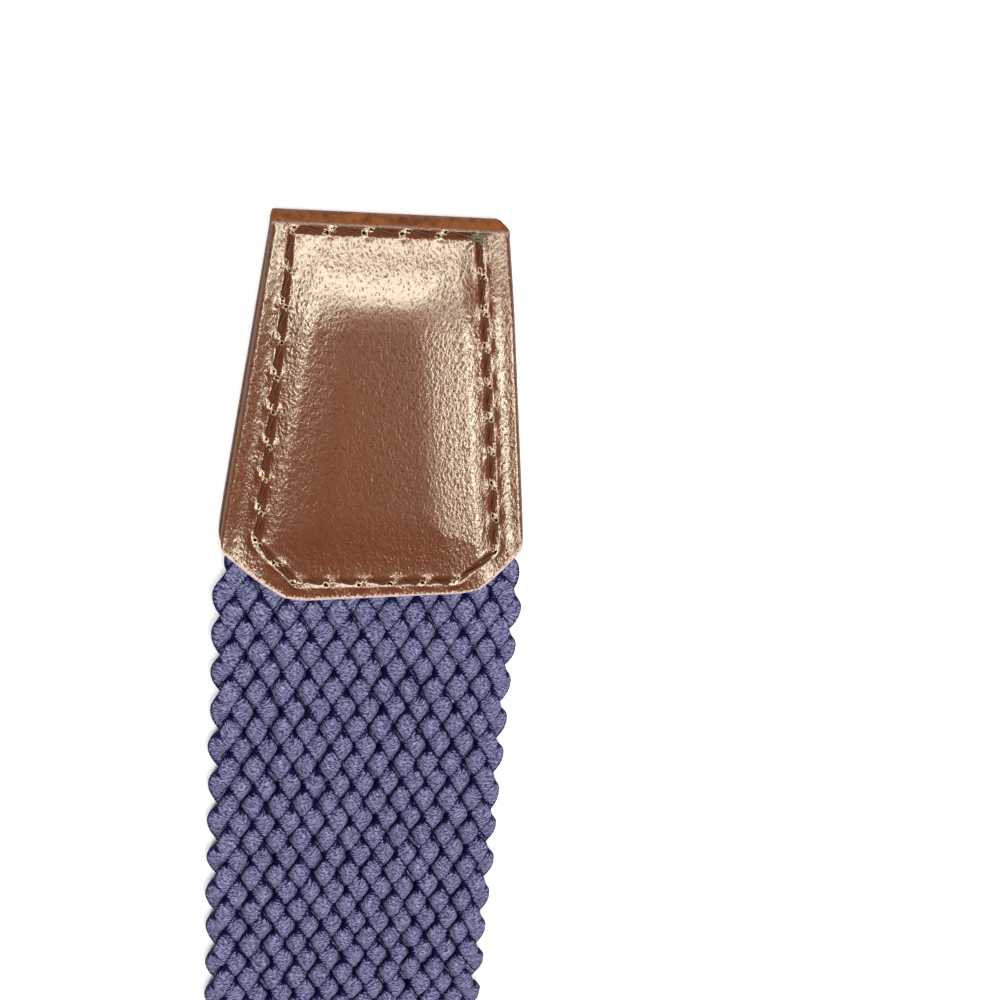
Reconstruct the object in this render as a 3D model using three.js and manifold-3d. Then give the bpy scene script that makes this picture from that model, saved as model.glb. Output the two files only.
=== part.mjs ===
// A braided stretch belt, laid out flat and straight. Millimetres, +Z up, +X from the buckle to the tip.
// The origin lies on the ground under the middle of the belt.
import * as THREE from "three";
import { mergeVertices } from "three/addons/utils/BufferGeometryUtils.js";
import Module from "manifold-3d";

// Driving dimensions of the braided band
const BAND_LENGTH = 950; // free length between the two leather tabs
const BAND_WIDTH = 35; // over the edge loops
const BAND_THICKNESS = 3.4;
const LOOP_PITCH = 5; // from one edge loop to the next
const LOOP_DEPTH = 0.8; // from the top of an edge loop to the notch beside it
const BAND_EDGE_ROUND = 1.2; // how far in from its edge the band is rounded
const RAMP_LENGTH = 14; // stretch in which the band rises from the ground into a tab

// Driving dimensions that both leather tabs share
const LEATHER_WALL = 1.2;
const FIT_GAP = 0.3; // left free between pieces that touch
const END_WIDTH = 21.8; // straight part of the open edge
const CORNER_CUT = 6.2; // length of the cut corners, along the belt
const SEWN_THICKNESS = 2.3; // band under the open edge of the leather
const PINCHED_THICKNESS = 0.9; // band between the side edges of the leather
const PINCH_REACH = 4.8; // width over which the leather comes down to its side edges
const BAND_TUCK = 1.4; // from the side edge of the leather to the edge of the band inside
const SEAM_INSET = 2.6; // from the cut edge to the row of stitches
const PAD_RISE = 0.4; // height of the padded panel inside the stitches

// Driving dimensions of the tip tab
const TIP_LENGTH = 42; // from the open edge to the outside of the fold
const TIP_WIDTH = 34; // at the widest, above the cut corners
const TIP_FOLD_WIDTH = 24.6;
const TIP_BAND_SETBACK = 7; // from the end of the band to the start of the fold
const TIP_BAND_THICKNESS = 1.9; // end of the band
const TIP_CORNER_ROUND = 1; // taken off each side at the outside of the fold

// Driving dimensions of the buckle end
const BUCKLE_TAB_LENGTH = 36;
const BUCKLE_TAB_WIDTH = 34;
const BUCKLE_FOLD_WIDTH = 32;
const BAR_DIAMETER = 3.8;
const BUCKLE_PINCHED_THICKNESS = 1.4; // band between the side edges
const FRAME_OPENING_WIDTH = 38; // across the belt
const FRAME_OPENING_LENGTH = 26; // from the middle of the bar
const FRAME_SECTION = 4.6; // width and thickness of the frame
const FRAME_EDGE = 0.9; // bevel along the frame's edges
const FRAME_CORNER = 8; // outside radius
const PRONG_DIAMETER = 3;
const PRONG_COLLAR_WALL = 0.9; // round the bar
const PRONG_OVERHANG = 1.5; // past the middle of the frame's end
const PRONG_SLOT_GAP = 0.6; // between the prong and each side of its slot
const PRONG_SLOT_REACH = 4; // behind the bar

// How fine the meshes are
const FOLD_STEPS = 8; // round the fold of a tab
const PANEL_STEPS = 4; // along the padded panel
const LEAST_ROW_GAP = 0.2; // rows closer than this are left out
const ROUND_SIDES = 16; // of the bar, the collar and the prong
const CORNER_STEPS = 6; // round a corner of the frame
const BEVEL_STEPS = 2; // over an edge of the frame
const PRONG_STEPS = 10; // along the prong
const SAME_POINT = 1e-4; // points closer than this are one

// The padded top of a tab. inset is a share of SEAM_INSET, rise a share of PAD_RISE.
const PAD = [
  { inset: 0, rise: -0.9 }, // cut edge, rounded over
  { inset: 0.45, rise: 0 }, // margin outside the stitches
  { inset: 1, rise: -0.8 }, // valley of the stitches
  { inset: 1.8, rise: 0.6 }, // shoulder of the panel
  { inset: 3.4, rise: 1 }, // panel
];
const PANEL_INSET = PAD[PAD.length - 1].inset * SEAM_INSET;

const collarRadius = BAR_DIAMETER / 2 + PRONG_COLLAR_WALL;

// A tab is described in a frame of its own: x from the open edge to the fold, y across, z up.
// foldCore is what the fold goes round. The band inside ends at bandEnd.
function makeTab({ length, width, foldWidth, foldCore, cornerRound, setback, pinched, bandEndCore }) {
  const radius = LEATHER_WALL + FIT_GAP + foldCore / 2;
  const foldStart = length - radius;
  const bandEnd = foldStart - setback;
  const core = [
    { at: 0, middle: SEWN_THICKNESS, edge: SEWN_THICKNESS },
    { at: CORNER_CUT, middle: SEWN_THICKNESS, edge: pinched },
    { at: bandEnd, middle: bandEndCore.middle, edge: bandEndCore.edge },
    { at: foldStart, middle: foldCore, edge: foldCore },
  ];
  return { width, foldWidth, cornerRound, radius, foldStart, bandEnd, core };
}
const tipTab = makeTab({
  length: TIP_LENGTH,
  width: TIP_WIDTH,
  foldWidth: TIP_FOLD_WIDTH,
  foldCore: 0,
  cornerRound: TIP_CORNER_ROUND,
  setback: TIP_BAND_SETBACK,
  pinched: PINCHED_THICKNESS,
  bandEndCore: { middle: TIP_BAND_THICKNESS, edge: PINCHED_THICKNESS },
});
const buckleTab = makeTab({
  length: BUCKLE_TAB_LENGTH,
  width: BUCKLE_TAB_WIDTH,
  foldWidth: BUCKLE_FOLD_WIDTH,
  foldCore: BAR_DIAMETER,
  cornerRound: 0,
  setback: collarRadius + FIT_GAP,
  pinched: BUCKLE_PINCHED_THICKNESS,
  bandEndCore: { middle: BAR_DIAMETER, edge: BAR_DIAMETER },
});

const frameEnd = FRAME_OPENING_LENGTH + FRAME_SECTION; // outside of the frame, from the middle of the bar
const beltLength = TIP_LENGTH + BAND_LENGTH + buckleTab.foldStart + frameEnd;
const tipEdgeX = beltLength / 2 - TIP_LENGTH; // open edge of the tip tab
const buckleEdgeX = tipEdgeX - BAND_LENGTH; // open edge of the buckle tab

const lerp = THREE.MathUtils.lerp;
const clamp = THREE.MathUtils.clamp;

// Value of a table column at a place, with straight lines between its rows.
function fromTable(rows, at, key, value) {
  const next = rows.findIndex((row) => row[key] >= at);
  if (next === -1) return rows[rows.length - 1][value];
  if (next === 0) return rows[0][value];
  const low = rows[next - 1];
  const high = rows[next];
  return lerp(low[value], high[value], (at - low[key]) / (high[key] - low[key]));
}

// Half width of a tab between its straight sides, drawn on past the cut corners.
function sideHalf(tab, x) {
  const along = (x - CORNER_CUT) / (tab.foldStart - CORNER_CUT);
  return lerp(tab.width / 2, tab.foldWidth / 2, Math.min(along, 1));
}

// Half width of the leather itself.
function outlineHalf(tab, x) {
  const cut = lerp(END_WIDTH / 2, tab.width / 2, x / CORNER_CUT);
  return x < CORNER_CUT ? cut : sideHalf(tab, x);
}

// Thickness of what lies between the two layers of leather, at a distance in from the side line.
function coreThickness(tab, x, inset) {
  const edge = fromTable(tab.core, x, "at", "edge");
  const middle = fromTable(tab.core, x, "at", "middle");
  return lerp(edge, middle, clamp((inset - BAND_EDGE_ROUND) / PINCH_REACH, 0, 1));
}

// Height of the padding at a point on the top of a tab, from its distance to the nearest cut edge or seam.
function padRise(tab, x, y) {
  const cornerWidth = (tab.width - END_WIDTH) / 2;
  const cornerLength = Math.hypot(cornerWidth, CORNER_CUT);
  const toEnd = x;
  const toSide = sideHalf(tab, x) - Math.abs(y);
  const toCorner =
    (CORNER_CUT * (END_WIDTH / 2 - Math.abs(y)) + cornerWidth * x) / cornerLength;
  const toFoldSeam = tab.foldStart - x + SEAM_INSET;
  const inset = Math.min(toEnd, toSide, toCorner, toFoldSeam) / SEAM_INSET;
  return PAD_RISE * fromTable(PAD, Math.max(inset, 0), "inset", "rise");
}

// Rows of a tab from its open edge to the start of its fold. The band inside has the same ones.
function tabRows(tab) {
  const fixed = [0, CORNER_CUT, tab.bandEnd, tab.foldStart];
  const fromEdge = PAD.map((row) => row.inset * SEAM_INSET);
  const beforeFold = fromEdge.map((inset) => tab.foldStart + SEAM_INSET - inset);
  const first = Math.max(PANEL_INSET, CORNER_CUT);
  const last = tab.foldStart + SEAM_INSET - PANEL_INSET;
  const panel = Array.from({ length: PANEL_STEPS }, (_, i) =>
    lerp(first, last, (i + 1) / (PANEL_STEPS + 1)),
  );
  const others = [...fromEdge, ...panel, ...beforeFold].filter(
    (x) => x < tab.foldStart && fixed.every((row) => Math.abs(x - row) > LEAST_ROW_GAP),
  );
  return [...fixed, ...others].sort((a, b) => a - b);
}

// Places across a tab of one half width, closer together at the seams.
function tabColumns(half) {
  const squeeze = Math.min(1, half / (PANEL_INSET + LEAST_ROW_GAP));
  const left = PAD.map((row) => row.inset * SEAM_INSET * squeeze - half);
  const right = left.map((y) => -y).reverse();
  return [...left, 0, ...right];
}

// A closed mesh from its points and its triangles.
function meshGeometry(points, faces) {
  const geometry = new THREE.BufferGeometry().setFromPoints(points);
  geometry.setIndex(faces.flat());
  geometry.computeVertexNormals();
  return geometry;
}

// A sheet with a front and a back, closed along its four edges. Rows run along it and columns across.
function closedSheet(front, back) {
  const rows = front.length;
  const columns = front[0].length;
  const points = [...front.flat(), ...back.flat()];
  const f = (i, j) => i * columns + j;
  const b = (i, j) => rows * columns + f(i, j);
  const faces = [];
  const quad = (p, q, r, s) => faces.push([p, q, r], [p, r, s]);
  for (let i = 0; i < rows - 1; i++) {
    for (let j = 0; j < columns - 1; j++) {
      quad(f(i, j), f(i + 1, j), f(i + 1, j + 1), f(i, j + 1));
      quad(b(i, j), b(i, j + 1), b(i + 1, j + 1), b(i + 1, j));
    }
    quad(f(i, 0), b(i, 0), b(i + 1, 0), f(i + 1, 0));
    const last = columns - 1;
    quad(f(i + 1, last), b(i + 1, last), b(i, last), f(i, last));
  }
  const end = rows - 1;
  for (let j = 0; j < columns - 1; j++) {
    quad(f(0, j), f(0, j + 1), b(0, j + 1), b(0, j));
    quad(f(end, j + 1), f(end, j), b(end, j), b(end, j + 1));
  }
  return meshGeometry(points, faces);
}

// The leather of one tab: over the band, round the fold, and back flat on the ground.
function foldedLeather(tab) {
  const front = [];
  const back = [];
  const addRow = (half, outside, inside) => {
    const across = tabColumns(half);
    front.push(across.map(outside));
    back.push(across.map(inside));
  };
  const rows = tabRows(tab);
  rows.forEach((x) => {
    const under = (y) =>
      LEATHER_WALL + 2 * FIT_GAP + coreThickness(tab, x, sideHalf(tab, x) - Math.abs(y));
    const over = (y) => under(y) + LEATHER_WALL + padRise(tab, x, y);
    addRow(
      outlineHalf(tab, x),
      (y) => new THREE.Vector3(x, y, over(y)),
      (y) => new THREE.Vector3(x, y, under(y)),
    );
  });
  for (let k = 1; k < FOLD_STEPS; k++) {
    const angle = (Math.PI * k) / FOLD_STEPS;
    const at = (radius) => (y) =>
      new THREE.Vector3(
        tab.foldStart + radius * Math.sin(angle),
        y,
        tab.radius + radius * Math.cos(angle),
      );
    const half = tab.foldWidth / 2 - tab.cornerRound * Math.sin(angle) ** 2;
    addRow(half, at(tab.radius), at(tab.radius - LEATHER_WALL));
  }
  [tab.foldStart, CORNER_CUT, 0].forEach((x) => {
    addRow(
      outlineHalf(tab, x),
      (y) => new THREE.Vector3(x, y, 0),
      (y) => new THREE.Vector3(x, y, LEATHER_WALL),
    );
  });
  return closedSheet(front, back);
}

// One cross-section of the band: flat underneath, rounded at its edges. y runs from left to right.
function bandRing(x, left, right, bottom, edgeThickness, thickness) {
  const shoulder = BAND_EDGE_ROUND;
  const crest = BAND_EDGE_ROUND + PINCH_REACH;
  const middle = bottom + edgeThickness / 2;
  const edgeTop = bottom + edgeThickness;
  const top = bottom + thickness;
  return [
    new THREE.Vector3(x, right, middle),
    new THREE.Vector3(x, right - shoulder, edgeTop),
    new THREE.Vector3(x, right - crest, top),
    new THREE.Vector3(x, left + crest, top),
    new THREE.Vector3(x, left + shoulder, edgeTop),
    new THREE.Vector3(x, left, middle),
    new THREE.Vector3(x, left + shoulder, bottom),
    new THREE.Vector3(x, right - shoulder, bottom),
  ];
}

// The band inside a tab, from the tab's open edge inwards. side is 1 at the tip, -1 at the buckle.
function tuckedRings(tab, edgeX, side) {
  const rows = tabRows(tab).filter((x) => x <= tab.bandEnd);
  return rows.map((x) => {
    const tucked = sideHalf(tab, x) - BAND_TUCK;
    const half = lerp(BAND_WIDTH / 2, tucked, Math.min(x / CORNER_CUT, 1));
    const edge = Math.min(coreThickness(tab, x, 0), SEWN_THICKNESS);
    const middle = Math.min(coreThickness(tab, x, PANEL_INSET), SEWN_THICKNESS);
    return bandRing(edgeX + side * x, -half, half, LEATHER_WALL + FIT_GAP, edge, middle);
  });
}

// The free part of the band, with its edge loops staggered from one side to the other.
function freeRings() {
  const steps = 2 * Math.round(BAND_LENGTH / LOOP_PITCH);
  const half = BAND_WIDTH / 2;
  const rings = [];
  for (let i = 1; i < steps; i++) {
    const along = (BAND_LENGTH * i) / steps;
    const toTab = Math.min(along, BAND_LENGTH - along);
    const rise = 1 - THREE.MathUtils.smoothstep(toTab, 0, RAMP_LENGTH);
    const bottom = rise * (LEATHER_WALL + FIT_GAP);
    const thickness = lerp(BAND_THICKNESS, SEWN_THICKNESS, rise);
    const left = i % 2 ? half : half - LOOP_DEPTH;
    const right = i % 2 ? half - LOOP_DEPTH : half;
    rings.push(bandRing(buckleEdgeX + along, -left, right, bottom, thickness, thickness));
  }
  return rings;
}

// A closed solid through a row of rings, which all run the same way round +X.
function loft(rings) {
  const count = rings[0].length;
  const faces = [];
  const at = (i, k) => i * count + (k % count);
  for (let i = 0; i < rings.length - 1; i++) {
    for (let k = 0; k < count; k++) {
      faces.push([at(i, k), at(i, k + 1), at(i + 1, k + 1)]);
      faces.push([at(i, k), at(i + 1, k + 1), at(i + 1, k)]);
    }
  }
  for (let k = 1; k < count - 1; k++) {
    faces.push([at(0, 0), at(0, k + 1), at(0, k)]);
    faces.push([at(rings.length - 1, 0), at(rings.length - 1, k), at(rings.length - 1, k + 1)]);
  }
  return meshGeometry(rings.flat(), faces);
}

function bandGeometry() {
  return loft([
    ...tuckedRings(buckleTab, buckleEdgeX, -1).reverse(),
    ...freeRings(),
    ...tuckedRings(tipTab, tipEdgeX, 1),
  ]);
}

const wasm = await Module();
wasm.setup();

// A geometry as a solid that can be joined and cut, and back again.
function toSolid(geometry) {
  const bare = geometry.clone();
  bare.deleteAttribute("normal");
  bare.deleteAttribute("uv");
  const merged = mergeVertices(bare, SAME_POINT);
  return new wasm.Manifold(
    new wasm.Mesh({
      numProp: 3,
      vertProperties: merged.attributes.position.array,
      triVerts: new Uint32Array(merged.index.array),
    }),
  );
}
function toGeometry(solid) {
  const mesh = solid.getMesh();
  const geometry = new THREE.BufferGeometry();
  geometry.setAttribute("position", new THREE.BufferAttribute(mesh.vertProperties, 3));
  geometry.setIndex(new THREE.BufferAttribute(mesh.triVerts, 1));
  geometry.computeVertexNormals();
  return geometry;
}

// The buckle is drawn flat, with the middle of its bar at the origin and its frame towards +X.
function frameGeometry() {
  const inside = FRAME_OPENING_WIDTH / 2;
  const outside = inside + FRAME_SECTION;
  const corner = FRAME_CORNER;
  const innerCorner = FRAME_CORNER - FRAME_SECTION;
  const heel = -FRAME_SECTION / 2;
  const shape = new THREE.Shape();
  shape.moveTo(heel, -outside);
  shape.lineTo(frameEnd - corner, -outside);
  shape.absarc(frameEnd - corner, corner - outside, corner, -Math.PI / 2, 0);
  shape.lineTo(frameEnd, outside - corner);
  shape.absarc(frameEnd - corner, outside - corner, corner, 0, Math.PI / 2);
  shape.lineTo(heel, outside);
  shape.lineTo(heel, inside);
  shape.lineTo(FRAME_OPENING_LENGTH - innerCorner, inside);
  shape.absarc(FRAME_OPENING_LENGTH - innerCorner, inside - innerCorner, innerCorner, Math.PI / 2, 0, true);
  shape.lineTo(FRAME_OPENING_LENGTH, innerCorner - inside);
  shape.absarc(FRAME_OPENING_LENGTH - innerCorner, innerCorner - inside, innerCorner, 0, -Math.PI / 2, true);
  shape.lineTo(heel, -inside);
  shape.closePath();
  const geometry = new THREE.ExtrudeGeometry(shape, {
    depth: FRAME_SECTION - 2 * FRAME_EDGE,
    bevelThickness: FRAME_EDGE,
    bevelSize: FRAME_EDGE,
    bevelOffset: -FRAME_EDGE,
    bevelSegments: BEVEL_STEPS,
    curveSegments: CORNER_STEPS,
  });
  return geometry.translate(0, 0, FRAME_EDGE - FRAME_SECTION / 2);
}

function barGeometry() {
  const length = FRAME_OPENING_WIDTH + FRAME_SECTION;
  return new THREE.CylinderGeometry(BAR_DIAMETER / 2, BAR_DIAMETER / 2, length, ROUND_SIDES);
}

// The prong leaves the bar and lies across the frame's end.
function prongGeometry() {
  const radius = PRONG_DIAMETER / 2;
  const restHeight = FRAME_SECTION / 2 + radius / 2;
  const section = new THREE.Shape().absarc(0, 0, radius, 0, 2 * Math.PI);
  const endMiddle = FRAME_OPENING_LENGTH + FRAME_SECTION / 2;
  const path = new THREE.CatmullRomCurve3([
    new THREE.Vector3(0, 0, 0),
    new THREE.Vector3(FRAME_OPENING_LENGTH / 3, 0, restHeight / 2),
    new THREE.Vector3(FRAME_OPENING_LENGTH, 0, restHeight),
    new THREE.Vector3(endMiddle + PRONG_OVERHANG, 0, restHeight),
  ]);
  return new THREE.ExtrudeGeometry(section, {
    extrudePath: path,
    steps: PRONG_STEPS,
    curveSegments: ROUND_SIDES,
    bevelEnabled: false,
  });
}

function collarGeometry() {
  return new THREE.CylinderGeometry(collarRadius, collarRadius, PRONG_DIAMETER, ROUND_SIDES);
}

function buckleGeometry() {
  const pieces = [frameGeometry(), barGeometry(), collarGeometry(), prongGeometry()];
  return toGeometry(pieces.map(toSolid).reduce((whole, piece) => whole.add(piece)));
}

// The buckle tab has a slot through its fold for the prong.
function buckleLeatherGeometry() {
  const slotWidth = PRONG_DIAMETER + 2 * PRONG_SLOT_GAP;
  const slotLength = PRONG_SLOT_REACH + 2 * buckleTab.radius;
  const slotHeight = 4 * buckleTab.radius;
  const slot = new THREE.BoxGeometry(slotLength, slotWidth, slotHeight);
  slot.translate(buckleTab.foldStart - PRONG_SLOT_REACH + slotLength / 2, 0, buckleTab.radius);
  return toGeometry(toSolid(foldedLeather(buckleTab)).subtract(toSolid(slot)));
}

// The frame tips down round its bar until its end rests on the ground.
function buckleTilt() {
  const reach = frameEnd - FRAME_EDGE;
  const toLowEdge = Math.hypot(reach, FRAME_SECTION / 2);
  return Math.asin(buckleTab.radius / toLowEdge) - Math.atan2(FRAME_SECTION / 2, reach);
}

const braid = new THREE.MeshStandardMaterial({ color: 0x5b598a, roughness: 0.9, metalness: 0 });
const leather = new THREE.MeshStandardMaterial({ color: 0x7a4a30, roughness: 0.35, metalness: 0 });
const nickel = new THREE.MeshStandardMaterial({ color: 0xb4b2ac, roughness: 0.3, metalness: 1 });

function namedMesh(name, geometry, material) {
  const mesh = new THREE.Mesh(geometry, material);
  mesh.name = name;
  return mesh;
}

const belt = new THREE.Group();
belt.add(namedMesh("braid_band", bandGeometry(), braid));

const tipEnd = new THREE.Group();
tipEnd.position.x = tipEdgeX;
tipEnd.add(namedMesh("tip_leather", foldedLeather(tipTab), leather));
belt.add(tipEnd);

const buckleEnd = new THREE.Group();
buckleEnd.position.x = buckleEdgeX;
buckleEnd.rotation.z = Math.PI;
buckleEnd.add(namedMesh("buckle_leather", buckleLeatherGeometry(), leather));
const buckle = namedMesh("buckle", buckleGeometry(), nickel);
buckle.position.set(buckleTab.foldStart, 0, buckleTab.radius);
buckle.rotation.y = buckleTilt();
buckleEnd.add(buckle);
belt.add(buckleEnd);

export default belt;
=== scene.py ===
"""A braided belt, dressed: its cords, its sewn leather tabs, its thread and its buckle, on a pale floor.

Lengths are in metres. +X runs along the belt from the buckle to the tip, +Y across it and +Z up.
"""

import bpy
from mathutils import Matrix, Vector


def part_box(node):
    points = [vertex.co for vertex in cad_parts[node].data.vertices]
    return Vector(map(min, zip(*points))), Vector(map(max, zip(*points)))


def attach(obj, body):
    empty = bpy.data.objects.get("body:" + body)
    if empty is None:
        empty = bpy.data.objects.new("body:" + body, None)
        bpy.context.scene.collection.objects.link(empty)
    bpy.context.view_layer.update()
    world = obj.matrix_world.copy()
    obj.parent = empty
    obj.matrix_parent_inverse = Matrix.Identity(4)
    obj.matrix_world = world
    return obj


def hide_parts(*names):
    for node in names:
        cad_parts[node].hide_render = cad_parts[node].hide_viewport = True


bl_info = {
    "name": "Braided belt",
    "version": (1, 0, 0),
    "blender": (4, 5, 0),
    "location": "3D View > Sidebar > Belt",
    "description": "Braids the cords of a belt, folds and sews its leather tabs and finishes its buckle",
    "category": "Object",
}

import math

import bpy
import numpy as np
from bpy.props import FloatProperty, FloatVectorProperty, IntProperty, PointerProperty
from mathutils import Matrix, Vector

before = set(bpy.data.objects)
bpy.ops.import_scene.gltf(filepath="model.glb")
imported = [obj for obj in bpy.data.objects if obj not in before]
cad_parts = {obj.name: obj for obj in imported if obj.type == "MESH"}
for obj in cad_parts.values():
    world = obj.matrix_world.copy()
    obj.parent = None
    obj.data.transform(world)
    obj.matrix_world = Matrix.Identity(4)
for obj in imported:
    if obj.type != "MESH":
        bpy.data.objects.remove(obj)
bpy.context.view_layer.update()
MM = 0.001

# Braid, as it lies between the two tabs
CORDS = 23
LOOP_PITCH = 5 * MM
HALF_ROW = LOOP_PITCH / 2
BAND_LOW, BAND_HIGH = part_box("braid_band")
BAND_WIDTH = BAND_HIGH.y - BAND_LOW.y
BAND_THICKNESS = 3.4 * MM
BAND_EDGE_ROUND = 1.2 * MM
RAMP_LENGTH = 14 * MM
TURN_REACH = 0.6  # how far from a sharp corner a cord starts to turn, in columns
TURN_DEPTH = TURN_REACH * 3 / 8  # how far the turn falls short of that corner
TURN_WIDTH = 0.92  # width of a cord at its turn, as a share of its width elsewhere
PEAK_SHIFT = 0.1  # how far the top of each crossing lies towards the tip, in half rows

# Leather, the same for both tabs
WALL = 1.2 * MM
FIT_GAP = 0.3 * MM
SEWN_THICKNESS = 2.3 * MM
PINCH_REACH = 4.8 * MM
BAND_TUCK = 1.4 * MM
CUT_SOFTEN = 1.1 * MM
CORE_SOFTEN = 3 * MM  # how far each way the leather evens out a step in what it covers


def linear(code):
    """A linear colour with alpha from an sRGB hex code."""
    channels = [int(code[i : i + 2], 16) / 255 for i in (1, 3, 5)]
    return tuple(c / 12.92 if c <= 0.04045 else ((c + 0.055) / 1.055) ** 2.4 for c in channels) + (1.0,)


def smoothstep(value, low, high):
    """0 below low, 1 above high and a smooth rise between them."""
    t = np.clip((value - low) / (high - low), 0, 1)
    return t * t * (3 - 2 * t)


def mix(a, b, share):
    return a + (b - a) * share


# Sizes and colours that a user may change


def length(name, description, default):
    """A length that a user may change."""
    return FloatProperty(
        name=name, description=description, default=default, unit="LENGTH", precision=5
    )


def colour(name, description, code):
    """A colour that a user may change, from its sRGB hex code."""
    return FloatVectorProperty(
        name=name, description=description, subtype="COLOR", size=4, default=linear(code)
    )


class BELT_PG_braid(bpy.types.PropertyGroup):
    cord_width: length("Cord width", "Width of one flattened cord", 2.6 * MM)
    cord_lift: length(
        "Cord lift", "Height of a cord's middle over the braid's middle where it is on top", 0.78 * MM
    )
    rib_pitch: length("Rib pitch", "Distance between the yarns wound round a cord", 0.36 * MM)
    yarn: colour("Yarn", "Colour of the yarn round the cords", "#434272")
    # Painted shade: the dark colour painted down in the crevices between the cords, where shade falls
    crevice_shade: colour("Crevice", "Colour of the yarn down between the cords", "#0D0B38")


class BELT_PG_leather(bpy.types.PropertyGroup):
    grain: length("Grain", "Width of one pebble of the leather's grain", 0.32 * MM)
    hide: colour("Hide", "Colour of the dyed and glazed face", "#5E2C13")
    raw_edge: colour("Raw edge", "Colour of the cut edge", "#C9AFA4")


class BELT_PG_seam(bpy.types.PropertyGroup):
    stitch: length("Stitch", "Length of one stitch", 3.75 * MM)
    thread_width: length("Thread width", "Width of the twisted thread", 0.56 * MM)
    thread: colour("Thread", "Colour of the thread", "#52291A")
    frayed: colour("Frayed end", "Colour of the thread's frayed ends, where its dye is worn", "#7E7C66")


class BELT_PG_stage(bpy.types.PropertyGroup):
    floor_size: FloatProperty(
        name="Floor size", description="Side of the floor", default=8.0, unit="LENGTH"
    )
    key_power: FloatProperty(
        name="Key light", description="Power of the light over the tip", default=70.0, unit="POWER"
    )
    floor: colour("Floor", "Colour of the floor", "#F4F4F4")
    lens: IntProperty(
        name="Lens",
        description="Focal length of the camera in millimetres",
        default=54,
        min=20,
        max=200,
    )


# Meshes


def add_mesh(name, points, faces, materials, attributes=None):
    """An object from an array of points and arrays of faces, one array for each number of corners."""
    mesh = bpy.data.meshes.new(name)
    mesh.vertices.add(len(points))
    mesh.vertices.foreach_set("co", np.asarray(points, np.float32).ravel())
    corners = np.concatenate([f.ravel() for f in faces]).astype(np.int32)
    sizes = np.concatenate([np.full(len(f), f.shape[1]) for f in faces])
    starts = np.concatenate([[0], np.cumsum(sizes)[:-1]]).astype(np.int32)
    mesh.loops.add(len(corners))
    mesh.loops.foreach_set("vertex_index", corners)
    mesh.polygons.add(len(sizes))
    mesh.polygons.foreach_set("loop_start", starts)
    for material in materials:
        mesh.materials.append(material)
    mesh.update(calc_edges=True)
    for key, values in (attributes or {}).items():
        flat = values.ndim == 1
        made = mesh.attributes.new(key, "FLOAT" if flat else "FLOAT_VECTOR", "POINT")
        made.data.foreach_set("value" if flat else "vector", values.astype(np.float32).ravel())
    mesh.shade_smooth()
    mesh.set_sharp_from_angle(angle=math.radians(60))
    if mesh.validate():
        raise ValueError(f"{name} holds a face that is no face")
    piece = bpy.data.objects.new(name, mesh)
    bpy.context.scene.collection.objects.link(piece)
    return piece


def frames(path):
    """Unit vectors along a path, level across it and up from it."""
    along = np.gradient(path, axis=0)
    along /= np.linalg.norm(along, axis=1, keepdims=True)
    across = np.cross((0.0, 0.0, 1.0), along)
    across /= np.linalg.norm(across, axis=1, keepdims=True)
    return along, across, np.cross(along, across)


def sweep(path, sections):
    """Rings of a section carried along a path. A section's points are (across, up) pairs."""
    _, across, up = frames(path)
    offset = sections[..., 0, None] * across[:, None] + sections[..., 1, None] * up[:, None]
    return path[:, None] + offset


def tube_faces(rings, sides, first=0):
    """Quads and end caps of a closed tube whose points start at first."""
    i, j = np.meshgrid(np.arange(rings - 1), np.arange(sides), indexing="ij")
    at = lambda row, column: first + row * sides + column % sides
    quads = np.stack([at(i, j), at(i, j + 1), at(i + 1, j + 1), at(i + 1, j)], -1).reshape(-1, 4)
    ring = np.arange(sides)
    caps = np.stack([at(0, ring[::-1]), at(rings - 1, ring)])
    return quads, caps


def joined_tubes(tubes):
    """Points, quads and caps of several tubes with like numbers of sides, as one mesh."""
    points, quads, caps, first = [], [], [], 0
    for tube in tubes:
        rings, sides = tube.shape[:2]
        quad, cap = tube_faces(rings, sides, first)
        points.append(tube.reshape(-1, 3))
        quads.append(quad)
        caps.append(cap)
        first += rings * sides
    return np.concatenate(points), [np.concatenate(quads), np.concatenate(caps)]


def oval(half_width, half_height, sides, squareness=1.0):
    """Sections like flattened ovals, one for each half width and half height, squarer below 1."""
    turn = np.arange(sides) * 2 * math.pi / sides
    round_cos = np.sign(np.cos(turn)) * np.abs(np.cos(turn)) ** squareness
    round_sin = np.sign(np.sin(turn)) * np.abs(np.sin(turn)) ** squareness
    return np.stack([np.outer(half_width, round_cos), np.outer(half_height, round_sin)], -1)


# Materials


def add_node(material, kind, settings=None, inputs=None):
    """Adds a node with its settings, and with its inputs as values or as links."""
    node = material.node_tree.nodes.new(kind)
    for name, value in (settings or {}).items():
        setattr(node, name, value)
    for name, value in (inputs or {}).items():
        if isinstance(value, bpy.types.NodeSocket):
            material.node_tree.links.new(value, node.inputs[name])
        else:
            node.inputs[name].default_value = value
    return node


def new_material(name):
    """A material and its shader, ready for nodes."""
    material = bpy.data.materials.new(name)
    material.use_nodes = True
    return material, material.node_tree.nodes["Principled BSDF"]


def wire(material, shader, inputs):
    """Sets or links the sockets of a shader."""
    for name, value in inputs.items():
        if isinstance(value, bpy.types.NodeSocket):
            material.node_tree.links.new(value, shader.inputs[name])
        else:
            shader.inputs[name].default_value = value


MIX_A, MIX_B, MIX_RESULT = 6, 7, 2  # the colour sockets of a Mix node


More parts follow.
